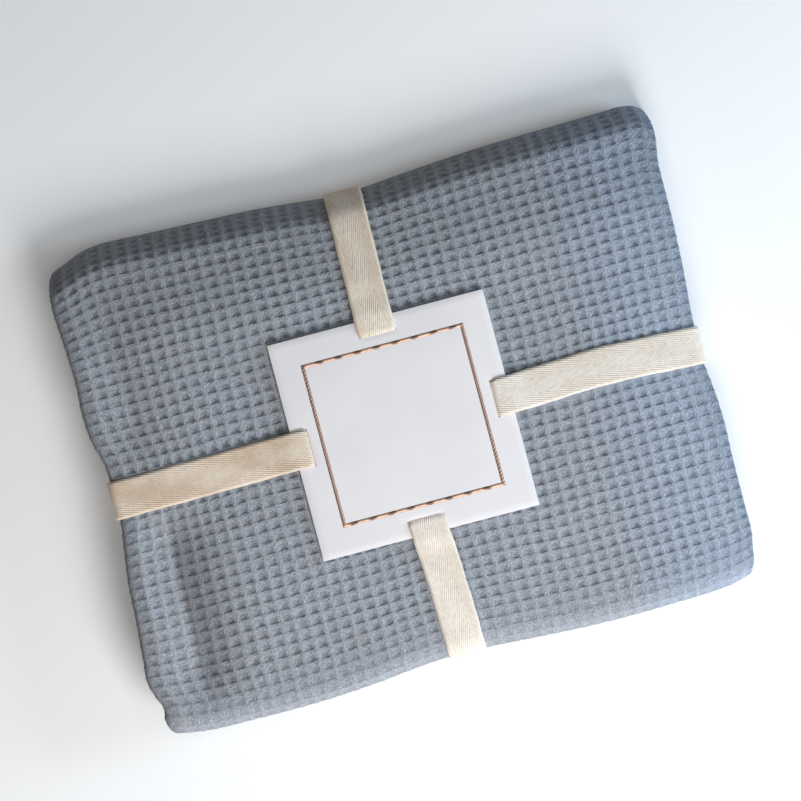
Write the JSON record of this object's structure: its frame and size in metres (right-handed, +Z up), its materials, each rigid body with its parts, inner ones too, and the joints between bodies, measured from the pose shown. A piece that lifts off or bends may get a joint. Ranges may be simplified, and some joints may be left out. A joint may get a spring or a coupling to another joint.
{
  "type": "folded throw blanket",
  "caption": "Waffle-weave cotton throw folded to a flat stack and held by two crossed cotton tapes that pass behind a slotted square card.",
  "frame": {"origin": "middle of the underside of the folded stack, on the surface it rests on", "axes": "+Z up; +X along the stack's long side; +Y along its short side, towards the thick back fold"},
  "size_m": [0.424, 0.336, 0.0497],
  "materials": {
    "waffle_cloth": "matte",
    "hem_thread": "matte",
    "cotton_tape": "matte",
    "tape_thread": "matte",
    "card_stock": "matte",
    "copper_foil": "satin"
  },
  "bodies": {
    "blanket": {"folded_blanket": "waffle_cloth", "hem_thread": "hem_thread"},
    "long_band": {"long_tape": "cotton_tape", "long_tape_stitches": "tape_thread"},
    "card": {"card": "card_stock", "card_border": "copper_foil"},
    "cross_band": {"cross_tape": "cotton_tape", "cross_tape_stitches": "tape_thread"}
  },
  "joints": [
    {"name": "long_band_slide", "type": "slide", "parent": "blanket", "child": "long_band", "axis": [0, 1, 0], "range_m": [-0.015, 0.015]},
    {"name": "card_slide", "type": "slide", "parent": "long_band", "child": "card", "axis": [1, 0, 0], "range_m": [-0.015, 0.015], "deforming": ["long_tape"]},
    {"name": "cross_band_follow", "type": "slide", "parent": "card", "child": "cross_band", "axis": [0, 1, 0], "range_m": [-0.015, 0.015], "deforming": ["cross_tape"]}
  ],
  "couplings": [
    {"joint": "cross_band_follow", "follows": "long_band_slide", "ratio": -1}
  ]
}
